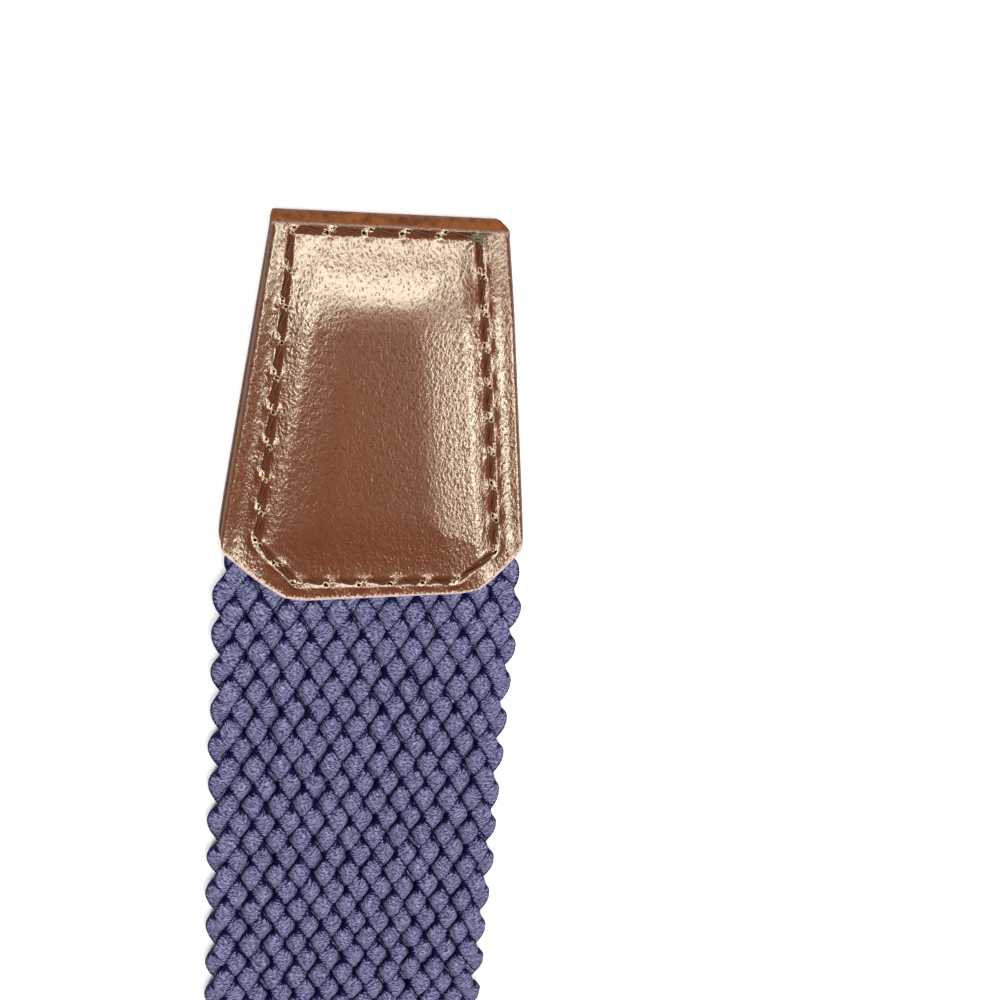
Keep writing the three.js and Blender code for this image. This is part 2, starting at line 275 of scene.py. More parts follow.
def covered_rubber_cord(settings):
    """Polyester yarn wound round a rubber core: dull, ribbed across the cord, flecked where the
    yarn's fibres catch the light, and painted with shade where the cords press together."""
    material, shader = new_material("polyester yarn wound on rubber")
    place = add_node(material, "ShaderNodeAttribute", {"attribute_name": "straight_cord"})
    rim_shade = add_node(material, "ShaderNodeAttribute", {"attribute_name": "rim_shade"})
    axes = add_node(material, "ShaderNodeSeparateXYZ", None, {"Vector": place.outputs["Vector"]})
    wander = add_node(
        material, "ShaderNodeTexNoise", None,
        {"Vector": place.outputs["Vector"], "Scale": 0.9, "Detail": 1.0},
    )
    lean = add_node(
        material, "ShaderNodeMath", {"operation": "MULTIPLY_ADD"},
        {0: wander.outputs["Fac"], 1: 1.5, 2: axes.outputs["X"]},
    )
    phase = add_node(
        material, "ShaderNodeMath", {"operation": "MULTIPLY"},
        {0: lean.outputs[0], 1: 2 * math.pi * MM / settings.rib_pitch},
    )
    rib = add_node(material, "ShaderNodeMath", {"operation": "SINE"}, {0: phase.outputs[0]})
    # Single fibres of the yarn run round the cord, so their noise is finest along it
    fibre_place = add_node(
        material, "ShaderNodeMapping", None,
        {"Vector": place.outputs["Vector"], "Scale": (5.0, 2.5, 2.5)},
    )
    fibre = add_node(
        material, "ShaderNodeTexNoise", None,
        {"Vector": fibre_place.outputs["Vector"], "Scale": 1.0, "Detail": 4.0, "Roughness": 0.7},
    )
    # The ribs stand out like a comb into the painted shade where a cord dips under the next, and fade on
    # its back
    comb = add_node(
        material, "ShaderNodeMath", {"operation": "MULTIPLY_ADD"},
        {0: rib.outputs[0], 1: -0.2, 2: rim_shade.outputs["Fac"]},
    )
    ragged = add_node(
        material, "ShaderNodeMath", {"operation": "MULTIPLY_ADD"},
        {0: fibre.outputs["Fac"], 1: -0.7, 2: comb.outputs[0]},
    )
    # Share of painted shade, dark down in the crevices and at the edges of each diamond
    crevice_shade_share = add_node(
        material, "ShaderNodeMapRange", {"interpolation_type": "SMOOTHSTEP"},
        {"Value": ragged.outputs[0], "From Min": -0.15, "From Max": 0.35},
    )
    ribbed_fibre = add_node(
        material, "ShaderNodeMath", {"operation": "MULTIPLY_ADD"},
        {0: rib.outputs[0], 1: 0.05, 2: fibre.outputs["Fac"]},
    )
    fleck = add_node(
        material, "ShaderNodeMapRange", None,
        {"Value": ribbed_fibre.outputs[0], "From Min": 0.4, "From Max": 0.72},
    )
    dark = tuple(c * 0.45 for c in settings.yarn[:3]) + (1.0,)
    light = tuple(0.22 + c * 1.5 for c in settings.yarn[:3]) + (1.0,)
    flecked = add_node(
        material, "ShaderNodeMix", {"data_type": "RGBA"},
        {0: fleck.outputs[0], MIX_A: dark, MIX_B: light},
    )
    # Painted shade over the yarn's own colour in the crevices between the cords
    shaded = add_node(
        material, "ShaderNodeMix", {"data_type": "RGBA"},
        {0: crevice_shade_share.outputs[0], MIX_A: flecked.outputs[MIX_RESULT], MIX_B: settings.crevice_shade[:]},
    )
    relief = add_node(
        material, "ShaderNodeMath", {"operation": "MULTIPLY_ADD"},
        {0: fibre.outputs["Fac"], 1: 2.5, 2: rib.outputs[0]},
    )
    bump = add_node(
        material, "ShaderNodeBump", None,
        {"Height": relief.outputs[0], "Strength": 0.8, "Distance": 0.04 * MM},
    )
    wire(
        material,
        shader,
        {
            "Base Color": shaded.outputs[MIX_RESULT],
            "Normal": bump.outputs["Normal"],
            "Roughness": 0.85,
            "Specular IOR Level": 0.08,
        },
    )
    return material


def slot_distance(material, seam):
    """Distance from the slots that the needle and thread leave at each end of a stitch, 1 at their rims.

    seam carries the way along the row in stitches, the way across it in millimetres and the length
    of a stitch in millimetres. Where two stitches meet there are two slots, set slantwise.
    """
    axes = add_node(material, "ShaderNodeSeparateXYZ", None, {"Vector": seam.outputs["Vector"]})
    whole = add_node(material, "ShaderNodeMath", {"operation": "ROUND"}, {0: axes.outputs["X"]})
    part = add_node(
        material, "ShaderNodeMath", {"operation": "SUBTRACT"},
        {0: axes.outputs["X"], 1: whole.outputs[0]},
    )
    along = add_node(
        material, "ShaderNodeMath", {"operation": "MULTIPLY"},
        {0: part.outputs[0], 1: axes.outputs["Z"]},
    )
    side = add_node(material, "ShaderNodeMath", {"operation": "SIGN"}, {0: along.outputs[0]})
    away = add_node(material, "ShaderNodeMath", {"operation": "ABSOLUTE"}, {0: along.outputs[0]})
    from_slot = add_node(
        material, "ShaderNodeMath", {"operation": "SUBTRACT"}, {0: away.outputs[0], 1: SLOT_AHEAD / MM}
    )
    aside = add_node(
        material, "ShaderNodeMath", {"operation": "MULTIPLY_ADD"},
        {0: side.outputs[0], 1: -SLOT_ASIDE / MM, 2: axes.outputs["Y"]},
    )
    place = add_node(
        material, "ShaderNodeCombineXYZ", None, {"X": from_slot.outputs[0], "Y": aside.outputs[0]}
    )
    scaled = add_node(
        material, "ShaderNodeVectorMath", {"operation": "MULTIPLY"},
        {0: place.outputs[0], 1: (MM / SLOT_LENGTH, MM / SLOT_WIDTH, 0)},
    )
    return add_node(material, "ShaderNodeVectorMath", {"operation": "LENGTH"}, {0: scaled.outputs[0]})


def glazed_leather(settings):
    """Split leather, dyed brown and glazed: a wet gloss that breaks up over pebbled, creased grain,
    puckered and pierced along the seam, with a pale fibrous line where the edge is cut."""
    material, shader = new_material("glazed pebbled leather")
    place = add_node(material, "ShaderNodeTexCoord")
    edge = add_node(material, "ShaderNodeAttribute", {"attribute_name": "from_cut"})
    thin = add_node(material, "ShaderNodeAttribute", {"attribute_name": "dulled"})
    seam = add_node(material, "ShaderNodeAttribute", {"attribute_name": "seam_place"})
    pull = add_node(
        material, "ShaderNodeTexNoise", None,
        {"Vector": place.outputs["Object"], "Scale": 0.3 / settings.grain, "Detail": 2.0},
    )
    bent = add_node(
        material, "ShaderNodeVectorMath", {"operation": "MULTIPLY_ADD"},
        {0: pull.outputs["Color"], 1: (0.8 * MM,) * 3, 2: place.outputs["Object"]},
    )
    drawn = add_node(
        material, "ShaderNodeMapping", None,
        {"Vector": bent.outputs[0], "Rotation": (0, 0, math.radians(20)), "Scale": (0.6, 1.0, 1.0)},
    )
    pebble = add_node(
        material, "ShaderNodeTexVoronoi", {"feature": "SMOOTH_F1"},
        {"Vector": drawn.outputs[0], "Scale": 1 / settings.grain, "Smoothness": 0.5},
    )
    crease = add_node(
        material, "ShaderNodeTexNoise", None,
        {"Vector": drawn.outputs[0], "Scale": 1.4 / settings.grain, "Detail": 3.0, "Roughness": 0.6},
    )
    grain = add_node(
        material, "ShaderNodeMath", {"operation": "MULTIPLY_ADD"},
        {0: crease.outputs["Fac"], 1: 1.0, 2: pebble.outputs["Distance"]},
    )
    # Puckers run across the row of stitches and die away from it
    pleat_place = add_node(
        material, "ShaderNodeVectorMath", {"operation": "MULTIPLY"},
        {0: seam.outputs["Vector"], 1: (6.0, 0.4, 0.0)},
    )
    pleat = add_node(
        material, "ShaderNodeTexNoise", None, {"Vector": pleat_place.outputs[0], "Scale": 1.0}
    )
    seam_axes = add_node(material, "ShaderNodeSeparateXYZ", None, {"Vector": seam.outputs["Vector"]})
    off_seam = add_node(
        material, "ShaderNodeMath", {"operation": "ABSOLUTE"}, {0: seam_axes.outputs["Y"]}
    )
    near_seam = add_node(
        material, "ShaderNodeMapRange", {"interpolation_type": "SMOOTHSTEP"},
        {"Value": off_seam.outputs[0], "From Min": 2.2, "From Max": 0.3, "To Max": 1.6},
    )
    puckered = add_node(
        material, "ShaderNodeMath", {"operation": "MULTIPLY_ADD"},
        {0: pleat.outputs["Fac"], 1: near_seam.outputs[0], 2: grain.outputs[0]},
    )
    # The panel is stretched over the braid's end, which smooths its grain away from the seam
    stretch = add_node(
        material,
        "ShaderNodeMapRange",
        {"interpolation_type": "SMOOTHSTEP"},
        {"Value": seam_axes.outputs["Y"], "From Min": 2.5, "From Max": 8.0, "To Min": 0.85, "To Max": 0.4},
    )
    stretched = add_node(
        material, "ShaderNodeMath", {"operation": "MULTIPLY"},
        {0: puckered.outputs[0], 1: stretch.outputs[0]},
    )
    # The slots are torn ragged and painted with the shade down the holes; a creamy ring round them is a
    # painted highlight on their pinched rims
    from_slot = slot_distance(material, seam)
    tear = add_node(
        material, "ShaderNodeTexNoise", None,
        {"Vector": place.outputs["Object"], "Scale": 3.6 / MM, "Detail": 2.0, "Roughness": 0.7},
    )
    ragged = add_node(
        material, "ShaderNodeMath", {"operation": "MULTIPLY_ADD"},
        {0: tear.outputs["Fac"], 1: 5.0, 2: from_slot.outputs["Value"]},
    )
    slots = add_node(
        material, "ShaderNodeMapRange", {"interpolation_type": "SMOOTHSTEP"},
        {"Value": ragged.outputs[0], "From Min": 3.7, "From Max": 3.2},
    )
    # Painted highlight: share of the creamy ring round each slot
    slot_highlight = add_node(
        material, "ShaderNodeMapRange", None,
        {"Value": ragged.outputs[0], "From Min": 4.5, "From Max": 3.9},
    )
    pierced = add_node(
        material, "ShaderNodeMath", {"operation": "MULTIPLY_ADD"},
        {0: slots.outputs[0], 1: -6.0, 2: stretched.outputs[0]},
    )
    bump = add_node(
        material, "ShaderNodeBump", None,
        {"Height": pierced.outputs[0], "Strength": 1.0, "Distance": 0.035 * MM},
    )
    cloud = add_node(
        material, "ShaderNodeTexNoise", None,
        {"Vector": place.outputs["Object"], "Scale": 0.11 / MM, "Detail": 3.0},
    )
    dark = tuple(c * 0.72 for c in settings.hide[:3]) + (1.0,)
    dyed = add_node(
        material, "ShaderNodeMix", {"data_type": "RGBA"},
        {0: cloud.outputs["Fac"], MIX_A: dark, MIX_B: settings.hide[:]},
    )
    # The glaze is thin at the sides and round the fold, where the stretched dye shows mottled and warm
    half_thin = add_node(
        material, "ShaderNodeMath", {"operation": "MULTIPLY"}, {0: thin.outputs["Fac"], 1: 0.7}
    )
    bend = add_node(
        material, "ShaderNodeMapRange", None,
        {"Value": thin.outputs["Fac"], "From Min": SIDE_DULLNESS, "To Max": 0.85},
    )
    mottle = add_node(
        material, "ShaderNodeMapRange", None,
        {"Value": pull.outputs["Fac"], "From Min": 0.35, "From Max": 0.65},
    )
    warm = add_node(
        material, "ShaderNodeMix", {"data_type": "RGBA"},
        {0: mottle.outputs[0], MIX_A: linear("#4E2409"), MIX_B: linear("#7C420E")},
    )
    warmed = add_node(
        material, "ShaderNodeMix", {"data_type": "RGBA"},
        {0: bend.outputs[0], MIX_A: dyed.outputs[MIX_RESULT], MIX_B: warm.outputs[MIX_RESULT]},
    )
    # The cut edge is fibrous, so its pale line is ragged
    fray = add_node(
        material, "ShaderNodeMath", {"operation": "MULTIPLY_ADD"},
        {0: tear.outputs["Fac"], 1: -1.4, 2: edge.outputs["Fac"]},
    )
    raw = add_node(
        material, "ShaderNodeMapRange", {"interpolation_type": "SMOOTHSTEP"},
        {"Value": fray.outputs[0], "From Min": 0.0, "From Max": -0.35},
    )
    face = add_node(
        material, "ShaderNodeMix", {"data_type": "RGBA"},
        {0: raw.outputs[0], MIX_A: warmed.outputs[MIX_RESULT], MIX_B: settings.raw_edge[:]},
    )
    # Painted highlight: the creamy ring round the slots, where the pinched leather catches the light
    worn = add_node(
        material, "ShaderNodeMix", {"data_type": "RGBA"},
        {0: slot_highlight.outputs[0], MIX_A: face.outputs[MIX_RESULT], MIX_B: linear("#D2B792")},
    )
    # Painted shade: the slots are painted near black for the shade down the needle holes
    hole_shaded = add_node(
        material, "ShaderNodeMix", {"data_type": "RGBA"},
        {0: slots.outputs[0], MIX_A: worn.outputs[MIX_RESULT], MIX_B: linear("#0C0605")},
    )
    dull = add_node(
        material, "ShaderNodeMath", {"operation": "MAXIMUM"}, {0: raw.outputs[0], 1: slots.outputs[0]}
    )
    duller = add_node(
        material, "ShaderNodeMath", {"operation": "MAXIMUM"},
        {0: dull.outputs[0], 1: half_thin.outputs[0]},
    )
    # Little light reaches the creases between the pebbles
    crest = add_node(
        material, "ShaderNodeMapRange", None,
        {"Value": grain.outputs[0], "From Min": 0.6, "From Max": 0.9, "To Min": 0.25, "To Max": 1.0},
    )
    rough = add_node(
        material, "ShaderNodeMapRange", None,
        {"Value": duller.outputs[0], "To Min": 0.24, "To Max": 0.85},
    )
    gloss = add_node(
        material, "ShaderNodeMapRange", None,
        {"Value": duller.outputs[0], "To Min": crest.outputs[0], "To Max": 0.0},
    )
    wire(
        material,
        shader,
        {
            "Base Color": hole_shaded.outputs[MIX_RESULT],
            "Roughness": rough.outputs[0],
            "Normal": bump.outputs["Normal"],
            "Specular IOR Level": gloss.outputs[0],
            "Specular Tint": linear("#FFF7DC"),
            "IOR": 1.57,
        },
    )
    return material


def twisted_thread(name, tint, shade):
    """Bonded polyester sewing thread, two plies twisted: smooth, with a low waxy shine."""
    material, shader = new_material(name)
    place = add_node(material, "ShaderNodeTexCoord")
    fibre = add_node(
        material, "ShaderNodeTexNoise", None,
        {"Vector": place.outputs["Object"], "Scale": 4.0 / MM, "Detail": 2.0},
    )
    dark = tuple(c * shade for c in tint[:3]) + (1.0,)
    colour = add_node(
        material, "ShaderNodeMix", {"data_type": "RGBA"},
        {0: fibre.outputs["Fac"], MIX_A: dark, MIX_B: tint[:]},
    )
    bump = add_node(
        material, "ShaderNodeBump", None,
        {"Height": fibre.outputs["Fac"], "Strength": 0.4, "Distance": 0.03 * MM},
    )
    wire(
        material,
        shader,
        {
            "Base Color": colour.outputs[MIX_RESULT],
            "Specular IOR Level": 0.2,
            "Roughness": 0.5,
            "Normal": bump.outputs["Normal"],
        },
    )
    return material


def satin_nickel():
    """Zinc casting, nickel plated and brushed lightly: grey, with a soft satin highlight."""
    material, shader = new_material("satin nickel plate")
    place = add_node(material, "ShaderNodeTexCoord")
    strokes = add_node(
        material, "ShaderNodeMapping", None,
        {"Vector": place.outputs["Object"], "Scale": (0.4 / MM, 3.0 / MM, 3.0 / MM)},
    )
    brush = add_node(
        material, "ShaderNodeTexNoise", None,
        {"Vector": strokes.outputs["Vector"], "Scale": 1.0, "Detail": 2.0},
    )
    shine = add_node(
        material, "ShaderNodeMapRange", None,
        {"Value": brush.outputs["Fac"], "To Min": 0.24, "To Max": 0.4},
    )
    bump = add_node(
        material, "ShaderNodeBump", None,
        {"Height": brush.outputs["Fac"], "Strength": 0.2, "Distance": 0.02 * MM},
    )
    wire(
        material,
        shader,
        {
            "Base Color": linear("#C9C6BF"),
            "Metallic": 1.0,
            "Roughness": shine.outputs[0],
            "Normal": bump.outputs["Normal"],
        },
    )
    return material


def matt_card(colour):
    """Matt white card, with the faint unevenness of pressed pulp."""
    material, shader = new_material("matt card")
    place = add_node(material, "ShaderNodeTexCoord")
    pulp = add_node(
        material, "ShaderNodeTexNoise", None,
        {"Vector": place.outputs["Object"], "Scale": 1.5 / MM, "Detail": 2.0},
    )
    bump = add_node(
        material, "ShaderNodeBump", None,
        {"Height": pulp.outputs["Fac"], "Strength": 0.05, "Distance": 0.02 * MM},
    )
    wire(material, shader, {"Base Color": colour, "Roughness": 0.9, "Normal": bump.outputs["Normal"]})
    return material


# The form of a tab


class Tab:
    """One leather tab. s runs from its open edge to its fold, y across it and side along +X or -X."""

    def __init__(
        self, node, side, fold_width, fold_core, setback, edge_core, end_core, corners, seam, askew, slip
    ):
        low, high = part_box(node)
        self.side = side
        self.edge_x = low.x if side > 0 else high.x
        self.length = high.x - low.x
        self.width = high.y - low.y
        self.fold_width = fold_width
        self.seam = [(s * MM, y * MM) for s, y in seam]
        self.askew = askew
        self.slip = slip
        self.radius = WALL + FIT_GAP + fold_core / 2
        self.fold_start = self.length - self.radius
        self.band_end = self.fold_start - setback
        self.corners = corners
        self.cut = max(c["cut"] for c in corners.values())
        # Thickness of what lies between the layers: at the middle and the edges of these rows
        middle, edge = end_core
        beyond = 2 * self.fold_start - self.band_end
        self.rows = [0, self.cut, self.band_end, self.fold_start, beyond]
        self.middles = [SEWN_THICKNESS, SEWN_THICKNESS, middle, fold_core, 2 * fold_core - middle]
        self.edges = [SEWN_THICKNESS, edge_core, edge, fold_core, 2 * fold_core - edge]

    def side_half(self, s):
        """Half width between the straight sides."""
        along = np.clip((s - self.cut) / (self.fold_start - self.cut), None, 1)
        return mix(self.width / 2, self.fold_width / 2, along)

    def outline_half(self, s, sign):
        """Half width of the leather on one side, with its cut corner rounded off."""
        corner = self.corners[sign]
        steep = (self.width / 2 - corner["end_half"]) / corner["cut"]
        cut_line = corner["end_half"] + steep * s
        side = self.side_half(s)
        gap = side - cut_line
        return (side + cut_line - np.sqrt(gap * gap + CUT_SOFTEN**2)) / 2

    def core(self, s, inset):
        """Thickness of what lies between the layers, at a distance in from the side line."""
        near = [s + step * CORE_SOFTEN for step in (-1, -0.6, -0.2, 0.2, 0.6, 1)]
        edge = sum(np.interp(place, self.rows, self.edges) for place in near) / len(near)
        middle = sum(np.interp(place, self.rows, self.middles) for place in near) / len(near)
        return mix(edge, middle, smoothstep(inset, BAND_EDGE_ROUND, BAND_EDGE_ROUND + PINCH_REACH))

    def world(self, s, y, z):
        """Points of the belt from places in the tab."""
        return np.stack(np.broadcast_arrays(self.edge_x + self.side * s, self.side * y, z), -1)


# Corners of each seam, from its knot at the fold: the way in from the tab's open end and the way
# across it, in millimetres
TIP_SEAM = [(40.5, -8.9), (40.3, 10.3), (6.6, 13.0), (2.2, 8.6), (2.0, -9.2), (5.6, -13.5)]
BUCKLE_SEAM = [(32.5, -12.8), (32.5, 12.8), (7.0, 13.4), (2.2, 8.8), (2.2, -8.8), (7.0, -13.4)]

TIP = Tab(
    node="tip_leather",
    side=1,
    fold_width=24.6 * MM,
    fold_core=0.0,
    setback=7 * MM,
    edge_core=0.9 * MM,
    end_core=(1.9 * MM, 0.9 * MM),
    corners={
        1: {"end_half": 9.9 * MM, "cut": 5.2 * MM, "fold": 0.3 * MM},
        -1: {"end_half": 12.0 * MM, "cut": 5.2 * MM, "fold": 1.8 * MM},
    },
    seam=TIP_SEAM,
    askew=0.04,
    slip=0.12 * MM,
)
BAR_DIAMETER = 3.8 * MM
COLLAR_WALL = 0.9 * MM
BUCKLE_TAB = Tab(
    node="buckle_leather",
    side=-1,
    fold_width=32 * MM,
    fold_core=BAR_DIAMETER,
    setback=BAR_DIAMETER / 2 + COLLAR_WALL + FIT_GAP,
    edge_core=1.4 * MM,
    end_core=(BAR_DIAMETER, BAR_DIAMETER),
    corners={sign: {"end_half": 10.9 * MM, "cut": 6.2 * MM, "fold": 0.0} for sign in (1, -1)},
    seam=BUCKLE_SEAM,
    askew=0.0,
    slip=0.0,
)


# Braid


def crossing_height(u):
    """Height of a cord's middle, from -1 under the others to 1 over them, u half rows along its zigzag."""
    u = np.mod(u, 2 * CORDS)
    height = np.where(u < CORDS, 1, -1) * np.cos(math.pi * u)
    for turn in (0, CORDS, 2 * CORDS):
        from_turn = u - turn
        height = np.where(np.abs(from_turn) < 1, -np.sin(math.pi * from_turn / 2), height)
    return height * (1.25 - 0.25 * height**2)


def crossing_column(u):
    """Column of a cord's middle, from 0 at the +Y edge to CORDS at the other, rounded at its turns."""
    u = np.mod(u, 2 * CORDS)
    column = np.where(u < CORDS, u, 2 * CORDS - u)
    from_edge = np.minimum(column, CORDS - column)
    share = from_edge / TURN_REACH
    bend = TURN_DEPTH * (1 + 2 * share**2 - share**4 / 3)
    rounded = np.where(share < 1, bend, from_edge)
    return np.where(column < CORDS / 2, rounded, CORDS - rounded)


def band_form(x, share):
    """Half width, underside and thickness of the band at x, share of the way out to its edge."""
    tip_in = x - TIP.edge_x
    buckle_in = BUCKLE_TAB.edge_x - x
    half = np.full_like(x, BAND_WIDTH / 2)
    to_tab = np.minimum(-tip_in, -buckle_in)
    rise = 1 - smoothstep(to_tab, 0, RAMP_LENGTH)
    thickness = mix(BAND_THICKNESS, SEWN_THICKNESS, rise)
    for tab, inside in ((TIP, tip_in), (BUCKLE_TAB, buckle_in)):
        tucked = tab.side_half(inside) - BAND_TUCK
        within = inside > 0
        half = np.where(within, mix(half, tucked, np.clip(inside / tab.cut, 0, 1)), half)
        core = np.minimum(tab.core(inside, tab.side_half(inside) * (1 - share)), SEWN_THICKNESS)
        thickness = np.where(within, core, thickness)
    return half, rise * (WALL + FIT_GAP), thickness


KNOBBLY_COLUMNS = (4, 14, 16)  # columns of crossings that stand up as round knobs
KNOB_REACH = 0.45  # columns
KNOB_LIFT = 0.12  # a knob's rise and narrowing, as shares of a cord's lift and width
KNOB_NARROWING = 0.06
CORD_SIDES = 10
CORDS_A_PIECE = 5
CORD_SQUARENESS = 0.72
EDGE_SWELL = 0.05  # how much thicker a cord is at its turn, as a share
ROLL = 0.16 * MM  # how far a cord's edge towards the tip stands up
SHOULDER = 0.1  # how much wider a diamond's side towards the tip is, as a share
SHOULDER_SHIFT = 0.1  # half rows
WAIST = 0.05  # how much narrower its other side is, as a share
HEAD_DROOP = 0.4 * MM  # how far a diamond's corner towards the tip is rounded down
HEAD_SPAN = (0.36, 0.7)  # half rows from the crossing between which it is rounded
ROW_SHIFT = 0.18  # how far the loops lie short of whole half rows from the tab's edge
DIAMOND_SLANT = 0.56  # run of a ring along its cord for each unit across it
CORD_APART = 40 * MM  # from cord to cord in the yarn's pattern, so that no two look alike
FINE_ROWS = (-2.0, 23.0)  # half rows from the tip tab's edge between which the rings are close
FINE_RINGS, PLAIN_RINGS = 12, 3  # rings in each half row
# Unevenness of the braiding: amounts, in half rows or as shares, and wavelengths in half rows
SLIDE_WAVES = ((0.05, 5.3), (0.04, 3.1))
SWAY_WAVES = ((0.04, 4.7), (0.04, 2.9))
LIFT_WAVES = ((0.07, 3.7), (0.05, 6.1))
WIDTH_WAVES = ((0.03, 4.1),)
# The painted shade at the edges of a diamond, by how near a point is to the ends and sides of its crossing
DIP_SHARES = (0.93, 0.9)  # at the end towards the tip and at the other
TURN_CLEARING = 0.8  # how much of the painted shade at the dark end is missing where a cord turns
SIDE_SHARE = 0.5
SIDE_LEAN = 0.03
HEAD_SHARE = 0.92
RIM_SHADE_SPAN = (0.385, 0.475)


def braid_rows():
    """Places along the belt where the cords have a ring, closest together near the tip."""
    last_row = (TIP.edge_x - BUCKLE_TAB.edge_x + BUCKLE_TAB.band_end) / HALF_ROW
    fine_from, fine_to = FINE_ROWS
    hidden = np.arange(-TIP.band_end / HALF_ROW, fine_from, 1 / PLAIN_RINGS)
    fine = np.arange(fine_from, fine_to, 1 / FINE_RINGS)
    rest = np.arange(fine_to, last_row, 1 / PLAIN_RINGS)
    return np.concatenate([hidden, fine, rest])


def cord_tube(number, rows, settings, rng):
    """One cord as rings of points, with its straightened place and how much painted shade each point takes
    near the edges of its diamond.

    A ring lies along the cords that cross this one, so that each crossing shows a full diamond.
    """
    half_cord = settings.cord_width / 2
    column_width = (BAND_WIDTH / 2 - half_cord * TURN_WIDTH) / (CORDS / 2 - TURN_DEPTH)
    wave = lambda length: np.sin(2 * math.pi * rows / length + rng.uniform(0, 2 * math.pi))
    uneven = lambda waves: sum(amount * wave(length) for amount, length in waves)
    u = rows - ROW_SHIFT - 2 * number + uneven(SLIDE_WAVES)
    x = TIP.edge_x - HALF_ROW * rows
    column = crossing_column(u) + uneven(SWAY_WAVES)
    swing = np.clip(np.gradient(column, rows), -1, 1)
    height = crossing_height(u + PEAK_SHIFT)
    across = (CORDS / 2 - column) * column_width
    half, bottom, thickness = band_form(x, np.abs(across) / (BAND_WIDTH / 2))
    squeeze = half / (BAND_WIDTH / 2)
    scale = thickness / BAND_THICKNESS
    knob = sum(np.exp(-(((column - at) / KNOB_REACH) ** 2)) for at in KNOBBLY_COLUMNS)
    lift = settings.cord_lift * (1 + uneven(LIFT_WAVES) + KNOB_LIFT * knob)
    path = np.stack([x, across * squeeze, bottom + thickness / 2 + height * lift * scale], -1)

    edge = np.clip(1 - np.minimum(column, CORDS - column), 0, 1)
    bulge = 1 + uneven(WIDTH_WAVES) - KNOB_NARROWING * knob
    half_width = half_cord * mix(1, TURN_WIDTH, edge) * bulge * squeeze
    half_height = (BAND_THICKNESS / 2 - settings.cord_lift) * scale * (1 + EDGE_SWELL * edge)
    side, top = oval(1, 1, CORD_SIDES, CORD_SQUARENESS)[0].T
    tipward = swing[:, None] * side
    crossing = (u + PEAK_SHIFT - np.round(u + PEAK_SHIFT))[:, None]
    shoulder = SHOULDER * np.cos(2 * math.pi * (crossing - SHOULDER_SHIFT)) * np.clip(tipward, 0, 1)
    waist = WAIST * np.cos(2 * math.pi * crossing) * np.clip(-tipward, 0, 1)
    out = half_width[:, None] * side * (1 + shoulder - waist)
    head = np.hypot(np.clip(-crossing, 0, 1), np.clip(tipward, 0, 1) / 2)
    droop = HEAD_DROOP * smoothstep(head, *HEAD_SPAN) * (1 - edge[:, None]) * np.sign(top)
    up = half_height[:, None] * top + (ROLL * tipward - droop) * scale[:, None]
    _, level, _ = frames(path * (1, 1, 0))
    behind = np.cross((0.0, 0.0, 1.0), level)
    diagonal = level[:, None] + (DIAMOND_SLANT * swing)[:, None, None] * behind[:, None]
    tube = path[:, None] + out[..., None] * diagonal + up[..., None] * (0.0, 0.0, 1.0)

    run = np.concatenate([[0], np.cumsum(np.linalg.norm(np.diff(path, axis=0), axis=1))])
    straight = np.empty(tube.shape)
    straight[..., 0] = run[:, None] - DIAMOND_SLANT * swing[:, None] * out + CORD_APART * number
    straight[..., 1] = out
    straight[..., 2] = up
    # Painted shade near the edges of each diamond, where it dips under the cords that cross it
    dip_share = np.where(crossing < 0, *DIP_SHARES)
    to_dip = np.abs(crossing) * dip_share * (1 - TURN_CLEARING * edge[:, None])
    to_edge = SIDE_SHARE * np.abs(side) - SIDE_LEAN * tipward
    rim_shade = smoothstep(np.maximum(np.maximum(to_dip, to_edge), head * HEAD_SHARE), *RIM_SHADE_SPAN)
    return tube, straight / MM, rim_shade


class BELT_OT_braid(bpy.types.Operator):
    """Braid the cords of the band"""

    bl_idname = "belt.braid"
    bl_label = "Braid cords"

    def execute(self, context):
        settings = context.scene.belt_braid
        material = covered_rubber_cord(settings)
        rng = np.random.default_rng(23)
        rows = braid_rows()
        made = [cord_tube(number, rows, settings, rng) for number in range(CORDS)]
        for first in range(0, CORDS, CORDS_A_PIECE):
            some = made[first : first + CORDS_A_PIECE]
            points, faces = joined_tubes([tube for tube, _, _ in some])
            attributes = {
                "straight_cord": np.concatenate([s.reshape(-1, 3) for _, s, _ in some]),
                "rim_shade": np.concatenate([r.ravel() for _, _, r in some]),
            }
            name = f"braid_cords_{first // CORDS_A_PIECE + 1}"
            piece = add_mesh(name, points, faces, [material], attributes)
            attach(piece, "root")
            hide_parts("braid_band")
        return {"FINISHED"}


# Leather

SLOT_AHEAD = 0.34 * MM  # from the junction of two stitches to the slot of each
SLOT_ASIDE = 0.18 * MM
SLOT_LENGTH = 0.22 * MM
SLOT_WIDTH = 0.15 * MM
GROOVE_DEPTH = 0.09 * MM
GROOVE_WIDTH = 0.27 * MM
PULL_DEPTH = 0.22 * MM  # how far a stitch pulls the leather down
PULL_WIDTH = 0.24 * MM
BRIDGE_WIDTH = 0.24 * MM  # of the leather left standing between the two slots of a junction
BRIDGE_SLANT = 0.5
LIP_RISE = 0.17 * MM  # height of the lips each side of a junction
LIP_ASIDE = 0.46 * MM
LIP_WIDTH = 0.3 * MM
LIP_LENGTH = 0.75 * MM
PANEL_RISE = 0.4 * MM
PANEL_SLOPE = 8 * MM
EDGE_ROUND = 0.55 * MM
SIDE_DULLNESS = 0.75  # of the leather's sides, where its fold is 1
DULL_EDGE = 0.45 * MM  # how far in from its sides the leather's glaze is thin
DULL_BEND = 0.6  # how far round the fold, in radians, until the glaze is thin
CORNER_SOFTEN = 3 * MM
END_ROUND = 0.5 * MM  # how far the corners of a tab's open end are rounded back
END_REACH = 8 * MM  # how far in a tab's askew end moves its leather
